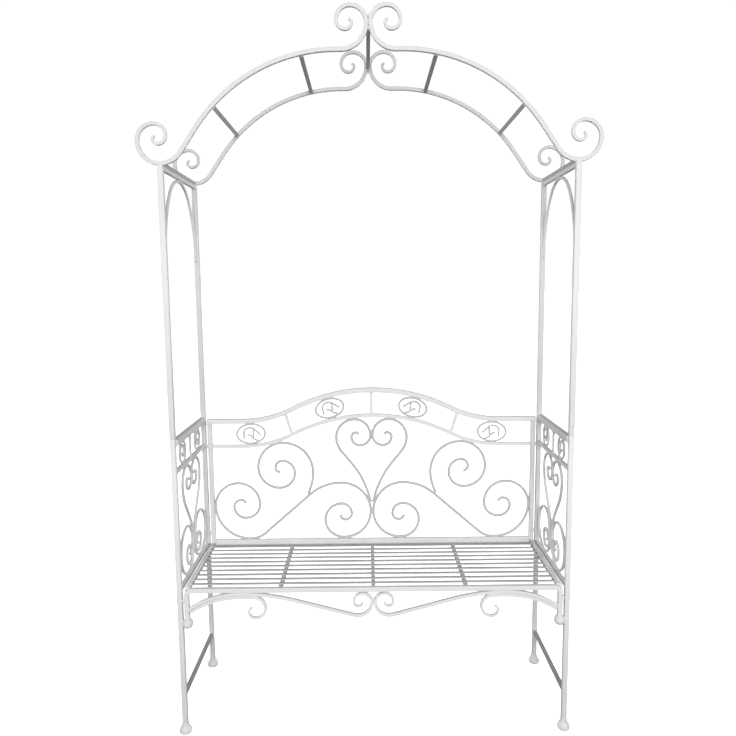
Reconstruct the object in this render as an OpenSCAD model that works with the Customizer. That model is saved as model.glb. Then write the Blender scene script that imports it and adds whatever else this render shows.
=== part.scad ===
// Garden rose arch with a two-seat bench, welded and bolted from steel bar and tube.
// X runs across the arch, Y from front to back and Z up. The origin is on the ground,
// in the middle of the four feet. Scrolls are drawn as chains of bends, see trace().

/* [Frame] */
// Distance between the left and right posts, centre to centre
post_spacing_x = 1180; // [1150:10:1240]
// Distance between the front and back posts, centre to centre
post_spacing_y = 370; // [360:5:400]
// Height of the post tops, where the arch stands
post_top_z = 1720; // [1650:10:1800]
// Height of the joint between the lower and the upper posts
joint_z = 932; // [930:1:950]

/* [Bench] */
// Height of the top of the seat
seat_z = 470; // [465:1:472]
// Height of the top of the arm rests
arm_z = 928; // [925:1:929]
// Height of the middle of the stretchers
stretcher_z = 122; // [60:1:250]
// Number of seat slats
slat_count = 10; // [8:1:10]
// Distance from one slat to the next
slat_pitch = 33; // [28:1:33]
// Height that the back rails climb from their ends to the middle
back_rise = 107; // [100:1:110]

/* [Bars] */
// Side of the square post tube
post_size = 16; // [15:0.5:18]
// Side of the square arm rest tube
arm_size = 20; // [16:1:20]
// Side of the square tube of the seat frame
seat_bar = 15; // [14:0.5:15]
// Side of the thin square bars
rail_size = 12; // [10:0.5:12]
// Side of the square arch bars
arch_bar = 12; // [11:0.5:14]
// Thickness of an arch bar at its scroll tips
arch_tip = 7; // [5:0.5:9]
// Side of the scroll rods in the sides and the back
rod = 9.5; // [8:0.5:10]
// Side of the rods of the small rings
ring_rod = 7; // [5:0.5:7]
// Thickness of the apron bars below the seat
apron_bar = 10; // [8:0.5:10]
// Wall thickness of every tube
tube_wall = 1.5; // [1:0.25:2.5]

/* [Fasteners] */
// Diameter of the bolts
bolt_d = 6; // [5:0.5:6]
// Diameter of the holes for the bolts
bolt_hole_d = 6.6; // [6.4:0.1:7]
// Gap between a post and the bench frame beside it
side_gap = 5; // [4:0.5:6]

/* [Hidden] */

// Longest straight step along a bend, as an angle and as a length
bend_step = 10;
bend_length = 25;
$fn = 48;

post_x = post_spacing_x / 2;
post_y = post_spacing_y / 2;
// The faces of the posts that look at each other, front to back
post_face_y = post_y - post_size / 2;
// The outer faces of the bench frame, which stands between the posts
bench_x = post_x - post_size / 2 - side_gap;
upright_x = bench_x - post_size / 2;
leg_x = bench_x - seat_bar / 2;
bench_inner_x = bench_x - seat_bar;

foot_h = 28;
foot_r = 19.5;
foot_neck_r = 11.5;
cup_z = 343;
cup_h = 28;
cup_r = 17;
joiner_half = 60;
post_cap = 3;
arm_rail_z = 828;
arm_ring_y = 88;
side_rail_z = seat_z - rail_size / 2;
seat_bar_z = seat_z - seat_bar / 2;
slat_w = 10;
slat_t = 4;
slat_shift = -4.5;
bearer_x = 285;
low_rail_h = 10;

// Heights of the bolts between the bench frame and the posts, and places of the others
seat_bolt_z = 430;
low_bolt_z = 505;
arch_bolt_y = 120;
rail_bolt_x = 200;
joint_screw_up = 30;
screw_d = 5;
insert_d = 9;
insert_h = 11;
spacer_d = 12;
// Depth of the holes that end inside a solid bar, short of its far face
blind = 2;

// Arch bar, from where the two halves touch down to the post top: [turn, radius] or [0, length]
arch_touch_x = -arch_bar / 2;
arch_neck = [-91.5, 71];
arch_straight = [0, 75];
arch_heel = [-55.5, 70];
arch_main_turn = 57;
// The radius of the long bend is what is left of the half span
arch_main_r = let (
        h1 = -90 + arch_neck[0],
        h2 = h1 + arch_main_turn,
        neck_dx = -arch_neck[1] * (sin(h1) - sin(-90)),
        straight_dx = arch_straight[1] * cos(h2),
        heel_dx = -arch_heel[1] * (sin(h2 + arch_heel[0]) - sin(h2))
    ) (-post_x - arch_touch_x - neck_dx - straight_dx - heel_dx) / (sin(h2) - sin(h1));
arch_down = [arch_neck, [arch_main_turn, arch_main_r], arch_straight, arch_heel];
arch_outer_scroll = [[-90, 62], [-90, 47], [-90, 33], [-90, 23], [-90, 14], [-90, 7]];
arch_top_scroll = [[90, 45], [90, 38], [90, 25], [90, 18], [100, 8]];
arch_foot = moved_all([arch_touch_x, 0, -90], arch_down);
arch_touch_z = post_top_z + arch_bar / 2 - arch_foot.y;
// Places of the rungs, as shares of the long bend from the middle
rung_places = [0.83, 0.23];

// Back panel: two tangent bends lift the rails to the middle
back_end_z = 911;
back_mid_drop = 90;
back_flat_x = 450;
back_slope = 2 * atan(back_rise / back_flat_x);
back_crown_r = 620;
back_heel_r = back_flat_x / sin(back_slope) - back_crown_r;
back_top_size = post_size;
back_ring_x = [-427, -157, 157, 427];
back_ring_half = 53;
band_bar_x = [-291, 0, 291];
band_bar_w = 10.5;
band_bar_lean = 17;
// How much wider a ring is than its gap before it is cut to fit
ring_fit = 0.5;

// Heart, S-scroll and C-scroll of the back panel, left halves
scroll_touch_x = -rod / 2;
low_rail_top = seat_z + low_rail_h;
s_join_z = low_rail_top + rod / 2 + 96;
s_coil = [[-90, 96], [-90, 66], [-90, 58], [-90, 36], [-90, 23], [-90, 17]];
s_sweep = [[90, 104.5], [41, 169], [0, 216], [-41, 80], [-90, 122], [-90, 82], [-90, 76],
    [-90, 51], [-90, 41], [-90, 25], [-80, 17]];
heart_start = [-124, back_end_z + back_rise - back_mid_drop - rail_size / 2 - rod / 2 - 67, 90];
heart_top = [[-90, 64], [-90, 56.5], [-90, 37], [-90, 30], [-90, 16], [-80, 9]];
heart_line = [[39, 80], [0, 55], [-27.6, 330]];
c_start = [-208, 726, 90];
c_top = [[90, 106], [90, 88], [90, 75], [90, 54], [90, 44], [90, 24], [90, 17]];
c_tail = [[-28.5, 168]];

// Heart half and loop of a side, front half: x is Y here
side_heart_start = [-104, arm_rail_z - rail_size / 2 - rod / 2 - 54, 90];
side_heart_top = [[-90, 54], [-90, 46.5], [0, 4], [-90, 31], [-90, 25], [-90, 13], [-90, 8]];
side_line_r = 110;
side_line_turn = 38;
side_loop_r = 73.5;
side_loop = [[-90, side_loop_r], [-90, 73], [0, 6], [-90, 71], [-90, 60.5], [0, 29], [-90, 39.5],
    [-90, 26.5], [0, 9], [-90, 25], [-90, 23], [-100, 10]];
// The line from the heart to the loop makes two opposite bends with a straight stretch between
side_fall = side_heart_start.y - side_rail_z - rail_size / 2 - rod / 2 - side_loop_r;
side_reach = scroll_touch_x - side_heart_start.x;
side_bends_r = (side_fall * sin(side_line_turn) - side_reach * cos(side_line_turn))
    / (1 - cos(side_line_turn));
side_straight = (side_fall - side_bends_r * sin(side_line_turn)) / cos(side_line_turn);
side_line = [[side_line_turn, side_line_r], [0, side_straight],
    [-side_line_turn, side_bends_r - side_line_r]];

// Window rod under a top rail, half of it
window_crown = [50, 135];
window_leg_turn = 40;

// Apron bars below the seat, left halves
apron_top_z = seat_z - seat_bar - apron_bar / 2;
apron_mid_x = -408;
apron_gap = 0.5;
apron_bend = 34;
apron_short_r = 271;
apron_short_top_x = -366;
apron_short_scroll = [[-90, 36], [-90, 31], [-90, 20], [-90, 12]];
apron_tip = apron_bar * 0.6;
apron_touch_x = -apron_bar / 2;
apron_low_z = 378;
apron_long_slope = 15;
apron_dip_r = 42;
apron_rise_r = 64;
apron_curl = [[90, 28], [90, 27], [90, 14], [90, 12]];

// ---- Chains of bends ----

// The pose p = [x, y, heading] after one step s: [turn, radius], or [0, length] when straight
function moved(p, s) =
    s[0] == 0 ? [p.x + s[1] * cos(p[2]), p.y + s[1] * sin(p[2]), p[2]]
    : let (r = sign(s[0]) * s[1], h = p[2] + s[0])
        [p.x + r * (sin(h) - sin(p[2])), p.y - r * (cos(h) - cos(p[2])), h];

// The pose after the first n steps of a chain
function moved_all(p, chain, n = undef) =
    let (m = n == undef ? len(chain) : n)
    m == 0 ? p : moved(moved_all(p, chain, m - 1), chain[m - 1]);

// All poses along a chain
function trace(p, chain) = concat([p], [
    for (i = [0 : len(chain) - 1])
        let (from = moved_all(p, chain, i), s = chain[i],
             n = s[0] == 0 ? 1 : ceil(abs(s[0]) * max(1 / bend_step, PI / 180 * s[1] / bend_length)))
            for (k = [1 : n]) moved(from, s[0] == 0 ? s : [s[0] * k / n, s[1]])
]);

// The same poses walked the other way
function backwards(path) = [for (i = [len(path) - 1 : -1 : 0]) [path[i].x, path[i].y, path[i][2] + 180]];

// Two paths joined where the first ends and the second starts
function joined(a, b) = concat(a, [for (i = [1 : len(b) - 1]) b[i]]);

// n widths from w0 to w1
function taper(n, w0, w1) = [for (i = [0 : n - 1]) w0 + (w1 - w0) * i / (n - 1)];

// The point at distance d to the left of a pose
function beside(p, d) = [p.x - d * sin(p[2]), p.y + d * cos(p[2])];

// Flat outline of a bar along a path, with one width or a list of widths
module band(path, w) {
    last = len(path) - 1;
    function half(i) = (is_list(w) ? w[i] : w) / 2;
    polygon(concat(
        [for (i = [0 : last]) beside(path[i], half(i))],
        [for (i = [last : -1 : 0]) beside(path[i], -half(i))]
    ));
}

// Stands a flat outline up across the arch, in the plane Y = y
module across(y, depth) {
    translate([0, y, 0]) rotate([90, 0, 0]) linear_extrude(height = depth, center = true) children();
}

// Stands a flat outline up in the plane X = x, with its own x along Y
module in_side(x, depth) {
    translate([x, 0, 0]) rotate([90, 0, 90]) linear_extrude(height = depth, center = true) children();
}

module mirror_x(on) { mirror([on ? 1 : 0, 0, 0]) children(); }
module mirror_y(on) { mirror([0, on ? 1 : 0, 0]) children(); }

// Square tube along +Z
module tube(length, size) {
    linear_extrude(height = length) difference() {
        square(size, center = true);
        square(size - 2 * tube_wall, center = true);
    }
}

// Tube along Y between y0 and y1
module tube_y(x, y0, y1, z, size) {
    translate([x, y0, z]) rotate([-90, 0, 0]) tube(y1 - y0, size);
}

// Solid square bar along Y
module bar_y(x, y0, y1, z, size) {
    translate([x - size / 2, y0, z - size / 2]) cube([size, y1 - y0, size]);
}

// Foot that closes a tube: a flat bell with a rounded rim and a narrow neck
module foot() {
    rotate_extrude() polygon([
        [0, 0], [15.5, 0], [18, 1.2], [19.2, 4.2], [foot_r, 7.6], [18.9, 11], [17, 14.6],
        [14.6, 18.2], [12.7, 22], [foot_neck_r, foot_h], [0, foot_h]
    ]);
}

// Rounded knob that closes the short legs: the widest place is a little above the middle
module knob(height, r) {
    low = -65;
    high = 50;
    rotate_extrude() polygon(concat(
        [[0, 0]],
        [for (a = [low : 11.5 : high]) [r * cos(a), height * (sin(a) - sin(low)) / (sin(high) - sin(low))]],
        [[0, height]]
    ));
}

// ---- Fastener lines: each places its children with +Z out of the bolt's head ----

module arch_bolt_lines() {
    for (x = [-post_x, post_x], y = [-arch_bolt_y, arch_bolt_y])
        translate([x, y, post_top_z + rail_size]) children();
}

module seat_bolt_lines() {
    for (s = [-1, 1])
        translate([s * (post_x + post_size / 2), -post_y, seat_bolt_z]) rotate([0, s * 90, 0]) children();
}

module back_bolt_lines() {
    for (s = [-1, 1], z = [low_bolt_z, back_end_z - back_mid_drop])
        translate([s * (post_x + post_size / 2), post_y, z]) rotate([0, s * 90, 0]) children();
}

module rail_bolt_lines() {
    for (x = [-rail_bolt_x, rail_bolt_x])
        translate([x, post_y, seat_z - seat_bar]) rotate([180, 0, 0]) children();
}

module joint_screw_lines() {
    for (x = [-post_x, post_x], s = [-1, 1])
        translate([x, s * (post_y + post_size / 2), joint_z + joint_screw_up])
            rotate([-s * 90, 0, 0]) children();
}

// The hole of one bolt
module bolt_hole(depth, d = bolt_hole_d) {
    translate([0, 0, -depth]) cylinder(h = depth + 1, d = d);
}

// Bolt with a low domed head, its shaft of a given length below the head
module bolt(length, d = bolt_d) {
    head_r = 0.85 * d;
    translate([0, 0, -length]) cylinder(h = length + 1, d = d);
    rotate_extrude() polygon([
        [0, 0], [head_r, 0], [head_r, 0.6], [head_r * 0.8, 1.7], [head_r * 0.45, 2.2], [0, 2.4]
    ]);
}

// Threaded insert set in the near wall of a tube at a given depth
module insert(depth) {
    translate([0, 0, -depth - insert_h]) difference() {
        cylinder(h = insert_h, d = insert_d);
        translate([0, 0, -1]) cylinder(h = insert_h + 2, d = bolt_d);
    }
}

// The hole that takes an insert
module insert_hole(depth) {
    bolt_hole(depth + tube_wall + 1, insert_d);
}

// ---- Posts and sides ----

module lower_post(x, y) {
    color("white") difference() {
        translate([x, y, foot_h]) tube(joint_z - foot_h, post_size);
        seat_bolt_lines() bolt_hole(post_size + 1);
        back_bolt_lines() bolt_hole(post_size + 1);
    }
}

module upper_post(x, y) {
    color("white") difference() {
        translate([x, y, joint_z]) union() {
            tube(post_top_z - joint_z, post_size);
            translate([0, 0, post_top_z - joint_z - post_cap]) linear_extrude(height = post_cap)
                square(post_size, center = true);
        }
        joint_screw_lines() bolt_hole(post_size / 2);
    }
}

module feet() {
    plug = post_size - 2 * tube_wall;
    color("white") for (x = [-post_x, post_x], y = [-post_y, post_y]) translate([x, y, 0]) {
        foot();
        translate([-plug / 2, -plug / 2, foot_h - 1]) cube([plug, plug, 26]);
    }
}

// Square plugs inside the post joints
module post_joiners() {
    plug = post_size - 2 * tube_wall;
    color("silver") difference() {
        for (x = [-post_x, post_x], y = [-post_y, post_y])
            translate([x - plug / 2, y - plug / 2, joint_z - joiner_half])
                cube([plug, plug, 2 * joiner_half]);
        joint_screw_lines() bolt_hole(post_size / 2, screw_d);
    }
}

module arm_rest(s) {
    color("white") tube_y(s * post_x, -post_face_y, post_face_y, arm_z - arm_size / 2, arm_size);
}

module arm_rails() {
    color("white") for (x = [-post_x, post_x]) bar_y(x, -post_face_y, post_face_y, arm_rail_z, rail_size);
}

module stretchers() {
    color("white") for (x = [-post_x, post_x]) bar_y(x, -post_face_y, post_face_y, stretcher_z, rail_size);
}

module side_rail(s) {
    color("white") bar_y(s * post_x, -post_face_y, post_face_y, side_rail_z, rail_size);
}

module top_rail(s) {
    color("white") difference() {
        bar_y(s * post_x, -post_face_y, post_face_y, post_top_z - rail_size / 2, rail_size);
        arch_bolt_lines() bolt_hole(2 * rail_size - blind, bolt_d);
    }
}

// Half a heart that runs down into a loop on the side rail
module side_scroll(s, back) {
    path = joined(backwards(trace(side_heart_start, side_heart_top)),
        trace([side_heart_start.x, side_heart_start.y, -90], concat(side_line, side_loop)));
    color("white") mirror_y(back) in_side(s * post_x, rod) band(path, rod);
}

// Scroll motif inside a ring: a stem with a long hook over it, a small hook and a foot
module motif() {
    band(trace([-25, -17, 90], [[0, 20], [-60, 18], [-30, 24], [-45, 24], [0, 30]]), ring_rod);
    band(trace([-10, -40, 60], [[0, 29], [25, 30], [0, 19]]), ring_rod);
    band(trace([4, -14, 115], [[50, 18], [0, 5]]), ring_rod);
    band(trace([4, -16, -30], [[0, 22], [40, 20], [0, 12]]), ring_rod);
}

// Oval of half width a and half height b, filled
module oval(a, b) {
    polygon([for (t = [0 : bend_step : 359]) [a * cos(t), b * sin(t)]]);
}

// Oval ring with the motif inside it
module ring(a, b) {
    difference() {
        oval(a, b);
        oval(a - ring_rod, b - ring_rod);
    }
    intersection() {
        motif();
        oval(a - ring_rod / 2, b - ring_rod / 2);
    }
}

// Two rings with a short rod between them, under an arm rest
module arm_rings(s) {
    low = arm_rail_z + rail_size / 2;
    gap = arm_z - arm_size - low;
    color("white") in_side(s * post_x, ring_rod) {
        intersection() {
            for (f = [-1, 1]) translate([f * arm_ring_y, low + gap / 2]) mirror([f > 0 ? 1 : 0, 0])
                ring(gap / 2 + ring_fit, gap / 2 + ring_fit);
            translate([-post_y, low]) square([post_spacing_y, gap]);
        }
        translate([-rod / 2, low]) square([rod, gap]);
    }
}

// Tall bent rod under a top rail, its ends on the posts
module window_rod(s) {
    leg_y = post_face_y - rod / 2;
    crown_y = window_crown[1] * sin(window_crown[0]);
    leg_r = (leg_y - crown_y) / (1 - cos(window_leg_turn));
    top = [0, post_top_z - rail_size - rod / 2];
    half_chain = [window_crown, [window_leg_turn, leg_r]];
    front = trace([top.x, top.y, 180], half_chain);
    back = [for (p = front) [-p.x, p.y, 180 - p[2]]];
    color("white") in_side(s * post_x, rod) band(joined(backwards(front), back), rod);
}

// ---- Arch ----

module arch_bar(back, right) {
    top = trace([arch_touch_x, arch_touch_z, 90], arch_top_scroll);
    main = trace([arch_touch_x, arch_touch_z, -90], arch_down);
    foot = moved_all([arch_touch_x, arch_touch_z, -90], arch_down);
    outer = trace(foot, arch_outer_scroll);
    widths = concat(
        taper(len(top) - 1, arch_tip, arch_bar),
        taper(len(main), arch_bar, arch_bar),
        taper(len(outer) - 1, arch_bar, arch_tip)
    );
    color("white") mirror_x(right) across(back ? post_y : -post_y, arch_bar)
        band(joined(joined(backwards(top), main), outer), widths);
}

// Bar from the front arch to the back arch, on a post top, bolted to the top rail
module arch_base(s) {
    reach = post_y - arch_bar / 2;
    color("white") difference() {
        bar_y(s * post_x, -reach, reach, post_top_z + rail_size / 2, rail_size);
        arch_bolt_lines() bolt_hole(rail_size + 1);
    }
}

// The pose on the long bend of an arch bar, at a share of its turn from the middle
function on_arch(share) =
    let (neck_end = moved([arch_touch_x, arch_touch_z, -90], arch_neck))
    moved(neck_end, [arch_main_turn * share, arch_main_r]);

module arch_rungs() {
    reach = post_y - arch_bar / 2;
    color("white") for (right = [false, true], share = rung_places) {
        p = on_arch(share);
        mirror_x(right) translate([p.x, 0, p.y]) rotate([0, -p[2], 0])
            bar_y(0, -reach, reach, 0, rail_size);
    }
}

module arch_centre_bar() {
    reach = post_y - arch_bar / 2;
    color("white") bar_y(0, -reach, reach, arch_touch_z - 4, rail_size);
}

// ---- Seat ----

// Front rail with rounded corners and the two short legs it bends into
module seat_front_rail() {
    corner = seat_bar;
    leg = seat_bar_z - corner - cup_z - cup_h;
    chain = [[0, leg], [-90, corner], [0, 2 * (leg_x - corner)], [-90, corner], [0, leg]];
    path = trace([-leg_x, cup_z + cup_h, 90], chain);
    color("white") difference() {
        across(-post_y, seat_bar) band(path, seat_bar);
        across(-post_y, seat_bar - 2 * tube_wall) band(path, seat_bar - 2 * tube_wall);
        seat_bolt_lines() insert_hole(post_size + side_gap);
    }
}

module leg_cups() {
    color("white") for (x = [-leg_x, leg_x])
        translate([x, -post_y, cup_z]) knob(cup_h, cup_r);
}

module seat_side_rails() {
    color("white") for (x = [-leg_x, leg_x])
        tube_y(x, -post_y + seat_bar / 2, post_y + post_size / 2, seat_bar_z, seat_bar);
}

module seat_back_rail() {
    color("white") difference() {
        translate([-bench_inner_x, post_y, seat_bar_z]) rotate([0, 90, 0]) tube(2 * bench_inner_x, seat_bar);
        rail_bolt_lines() bolt_hole(seat_bar + 1);
    }
}

module slat_bearers() {
    front = -post_y + seat_bar / 2;
    back = post_y - seat_bar / 2;
    height = seat_bar - slat_t;
    color("white") for (x = [-bearer_x, 0, bearer_x])
        translate([x - rail_size / 2, front, seat_z - seat_bar]) cube([rail_size, back - front, height]);
}

module seat_slats() {
    first = slat_shift - (slat_count - 1) / 2 * slat_pitch - slat_w / 2;
    color("white") for (i = [0 : slat_count - 1])
        translate([-bench_inner_x, first + i * slat_pitch, seat_z - slat_t])
            cube([2 * bench_inner_x, slat_w, slat_t]);
}

// The long bar: from the leg over the short bar, down to the middle and up into a curl
module apron_long(right) {
    top = [apron_mid_x, apron_top_z, 180];
    outer = trace(top, [[apron_bend, apron_short_r + apron_bar + apron_gap]]);
    start = [apron_touch_x, apron_low_z + apron_dip_r, -90];
    bottom = [[-90, apron_dip_r], [-apron_long_slope, apron_rise_r]];
    turned = moved_all(start, bottom);
    rise = top.y - turned.y;
    run = turned.x - top.x;
    crown_r = (run * sin(apron_long_slope) - rise * cos(apron_long_slope)) / (1 - cos(apron_long_slope));
    straight = (rise - crown_r * (1 - cos(apron_long_slope))) / sin(apron_long_slope);
    low = trace(start, concat(bottom, [[0, straight], [apron_long_slope, crown_r]]));
    curl = trace([start.x, start.y, 90], apron_curl);
    widths = concat(
        taper(len(curl) - 1, apron_tip, apron_bar),
        taper(len(low) + len(outer) - 1, apron_bar, apron_bar)
    );
    color("white") mirror_x(right) across(-post_y, rail_size)
        band(joined(joined(backwards(curl), low), outer), widths);
}

// The short bar: from the leg under the long bar, ending in a scroll
module apron_short(right) {
    top_z = apron_top_z - apron_bar - apron_gap;
    outer = trace([apron_mid_x, top_z, 180], [[apron_bend, apron_short_r]]);
    flat = [[0, apron_short_top_x - apron_mid_x]];
    scroll = trace([apron_mid_x, top_z, 0], concat(flat, apron_short_scroll));
    widths = concat(
        taper(len(scroll), apron_tip, apron_bar),
        taper(len(outer) - 1, apron_bar, apron_bar)
    );
    color("white") mirror_x(right) across(-post_y, rail_size)
        band(joined(backwards(scroll), outer), widths);
}

// ---- Back panel ----

// Line of a back rail: flat at the ends, two tangent bends up to the middle
function back_line(end_x, end_z) =
    let (half = [[0, end_x - back_flat_x], [back_slope, back_heel_r], [-back_slope, back_crown_r]],
         left = trace([-end_x, end_z, 0], half),
         right = [for (p = left) [-p.x, p.y, 180 - p[2]]])
    joined(left, backwards(right));

// Height of the middle of the top rail at a place across
function back_rail_z(x) =
    let (crown_x = back_crown_r * sin(back_slope), away = abs(x))
    away < crown_x
        ? back_end_z + back_rise - back_crown_r + sqrt(pow(back_crown_r, 2) - pow(away, 2))
        : away < back_flat_x
            ? back_end_z + back_heel_r - sqrt(pow(back_heel_r, 2) - pow(back_flat_x - away, 2))
            : back_end_z;

// Slope of the back rails at a place across
function back_rail_slope(x) =
    let (crown_x = back_crown_r * sin(back_slope), away = abs(x))
    sign(x) * (away < crown_x ? -asin(away / back_crown_r)
        : away < back_flat_x ? -asin((back_flat_x - away) / back_heel_r) : 0);

module back_upright(s) {
    top = back_end_z - back_top_size / 2;
    color("white") difference() {
        translate([s * upright_x, post_y, seat_z]) tube(top - seat_z, post_size);
        back_bolt_lines() insert_hole(post_size + side_gap);
    }
}

// Outlines of the top and the middle rail
module back_top_outline(size = back_top_size) {
    band(back_line(bench_x, back_end_z), size);
}

module back_mid_outline() {
    band(back_line(upright_x - post_size / 2, back_end_z - back_mid_drop), rail_size);
}

// Cuts flat outlines to fit between the top and the middle rail
module between_rails() {
    difference() {
        children();
        back_top_outline();
        back_mid_outline();
    }
}

module back_top_rail() {
    color("white") difference() {
        across(post_y, back_top_size) back_top_outline();
        across(post_y, back_top_size - 2 * tube_wall) back_top_outline(back_top_size - 2 * tube_wall);
    }
}

module back_mid_rail() {
    color("white") across(post_y, rail_size) back_mid_outline();
}

module back_low_rail() {
    width = 2 * (upright_x - post_size / 2);
    color("white") difference() {
        translate([-width / 2, post_y - rail_size / 2, seat_z]) cube([width, rail_size, low_rail_h]);
        rail_bolt_lines() bolt_hole(seat_bar + low_rail_h - blind, bolt_d);
    }
}

// Three short bars between the top and the middle rail
module back_band_bars() {
    mid = (back_mid_drop + (back_top_size - rail_size) / 2) / 2;
    color("white") across(post_y, rod) between_rails() for (x = band_bar_x)
        translate([x, back_rail_z(x) - mid]) rotate(-sign(x) * band_bar_lean)
            square([band_bar_w, back_mid_drop - rail_size / 2], center = true);
}

// Four oval rings between the top and the middle rail, turned with the rails
module back_rings() {
    color("white") across(post_y, ring_rod) between_rails() for (x = back_ring_x) {
        slope = back_rail_slope(x);
        drop = back_mid_drop * cos(slope);
        mid = drop / 2 + (back_top_size - rail_size) / 4;
        half_h = (drop - (back_top_size + rail_size) / 2) / 2;
        translate([x + mid * sin(slope), back_rail_z(x) - mid * cos(slope)]) rotate(slope)
            mirror([x > 0 ? 1 : 0, 0]) ring(back_ring_half, half_h + ring_fit);
    }
}

module back_heart() {
    path = joined(backwards(trace(heart_start, heart_top)),
        trace([heart_start.x, heart_start.y, -90], heart_line));
    color("white") for (right = [false, true]) mirror_x(right) across(post_y, rod) band(path, rod);
}

module s_scroll(right) {
    path = joined(backwards(trace([scroll_touch_x, s_join_z, -90], s_coil)),
        trace([scroll_touch_x, s_join_z, 90], s_sweep));
    color("white") mirror_x(right) across(post_y, rod) band(path, rod);
}

module c_scroll(right) {
    path = joined(backwards(trace(c_start, c_top)), trace([c_start.x, c_start.y, -90], c_tail));
    color("white") mirror_x(right) across(post_y, rod) band(path, rod);
}

// ---- Fasteners ----

module bolts() {
    color("silver") {
        arch_bolt_lines() bolt(2 * rail_size - blind - 1);
        seat_bolt_lines() bolt(post_size + side_gap + insert_h);
        back_bolt_lines() bolt(post_size + side_gap + insert_h);
        rail_bolt_lines() bolt(seat_bar + low_rail_h - blind - 1);
        joint_screw_lines() bolt(post_size / 2 - 1, screw_d);
    }
}

module threaded_inserts() {
    color("silver") {
        seat_bolt_lines() insert(post_size + side_gap);
        back_bolt_lines() insert(post_size + side_gap);
    }
}

module spacer() {
    translate([0, 0, -post_size - side_gap]) difference() {
        cylinder(h = side_gap, d = spacer_d);
        translate([0, 0, -1]) cylinder(h = side_gap + 2, d = bolt_hole_d);
    }
}

module spacers() {
    color("silver") {
        seat_bolt_lines() spacer();
        back_bolt_lines() spacer();
    }
}

lower_post(-post_x, -post_y);  // lower_post_front_left
lower_post(post_x, -post_y);  // lower_post_front_right
lower_post(-post_x, post_y);  // lower_post_back_left
lower_post(post_x, post_y);  // lower_post_back_right
upper_post(-post_x, -post_y);  // upper_post_front_left
upper_post(post_x, -post_y);  // upper_post_front_right
upper_post(-post_x, post_y);  // upper_post_back_left
upper_post(post_x, post_y);  // upper_post_back_right
feet();
post_joiners();
arm_rest(-1);  // arm_rest_left
arm_rest(1);  // arm_rest_right
arm_rails();
stretchers();
side_rail(-1);  // side_rail_left
side_rail(1);  // side_rail_right
top_rail(-1);  // top_rail_left
top_rail(1);  // top_rail_right
side_scroll(-1, false);  // side_scroll_front_left
side_scroll(1, false);  // side_scroll_front_right
side_scroll(-1, true);  // side_scroll_back_left
side_scroll(1, true);  // side_scroll_back_right
arm_rings(-1);  // arm_rings_left
arm_rings(1);  // arm_rings_right
window_rod(-1);  // window_rod_left
window_rod(1);  // window_rod_right
arch_bar(false, false);  // arch_bar_front_left
arch_bar(false, true);  // arch_bar_front_right
arch_bar(true, false);  // arch_bar_back_left
arch_bar(true, true);  // arch_bar_back_right
arch_base(-1);  // arch_base_left
arch_base(1);  // arch_base_right
arch_rungs();
arch_centre_bar();
seat_front_rail();
leg_cups();
seat_side_rails();
seat_back_rail();
slat_bearers();
seat_slats();
apron_long(false);  // apron_long_left
apron_long(true);  // apron_long_right
apron_short(false);  // apron_short_left
apron_short(true);  // apron_short_right
back_upright(-1);  // back_upright_left
back_upright(1);  // back_upright_right
back_top_rail();
back_mid_rail();
back_low_rail();
back_band_bars();
back_rings();
back_heart();
s_scroll(false);  // s_scroll_left
s_scroll(true);  // s_scroll_right
c_scroll(false);  // c_scroll_left
c_scroll(true);  // c_scroll_right
bolts();
threaded_inserts();
spacers();
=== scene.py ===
import math

import bmesh
import bpy
from mathutils import Matrix, Vector, noise


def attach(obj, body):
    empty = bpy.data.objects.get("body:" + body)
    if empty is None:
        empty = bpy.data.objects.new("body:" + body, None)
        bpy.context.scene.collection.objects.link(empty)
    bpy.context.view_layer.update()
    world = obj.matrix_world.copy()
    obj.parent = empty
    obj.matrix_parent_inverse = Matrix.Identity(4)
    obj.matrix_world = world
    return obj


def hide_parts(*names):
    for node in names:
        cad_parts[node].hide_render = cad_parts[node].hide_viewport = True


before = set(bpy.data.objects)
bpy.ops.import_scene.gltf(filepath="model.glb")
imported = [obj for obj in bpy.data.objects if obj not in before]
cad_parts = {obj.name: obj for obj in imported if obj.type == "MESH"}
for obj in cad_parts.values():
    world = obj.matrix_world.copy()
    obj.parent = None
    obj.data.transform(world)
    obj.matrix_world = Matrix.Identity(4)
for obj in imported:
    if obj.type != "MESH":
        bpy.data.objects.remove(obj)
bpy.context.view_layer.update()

# Garden rose arch with a two-seat bench. Finer pieces stand for all CAD nodes but the hidden post
# plugs and threaded inserts. They are worked out in millimetres and scaled by MM when built.

# ---- Sizes in millimetres, the same as in the CAD source ----

POST_X, POST_Y = 590.0, 185.0
POST_TOP_Z, JOINT_Z = 1720.0, 932.0
SEAT_Z, ARM_Z, STRETCHER_Z = 470.0, 928.0, 122.0
POST, ARM, SEAT_BAR, RAIL = 16.0, 20.0, 15.0, 12.0
ARCH, ARCH_TIP, ROD, RING_ROD, APRON = 12.0, 7.0, 9.5, 7.0, 10.0
SIDE_GAP = 5.0
# Radii of the bars' rounded edges
POST_EDGE, ARM_EDGE, SEAT_EDGE, ARCH_EDGE = 2.2, 2.6, 2.0, 2.0
RAIL_EDGE, FLAT_EDGE, APRON_EDGE, BAND_EDGE = 1.4, 1.2, 1.6, 1.6
ROD_EDGE, RING_EDGE, MOTIF_EDGE = 4.2, 3.1, 2.9
POST_FACE_Y = POST_Y - POST / 2
BENCH_X = POST_X - POST / 2 - SIDE_GAP
UPRIGHT_X = BENCH_X - POST / 2
LEG_X = BENCH_X - SEAT_BAR / 2
BENCH_INNER_X = BENCH_X - SEAT_BAR
FOOT_H, FOOT_R, FOOT_NECK_R = 28.0, 19.5, 11.5
CUP_Z, CUP_H, CUP_R = 343.0, 28.0, 17.0
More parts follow.
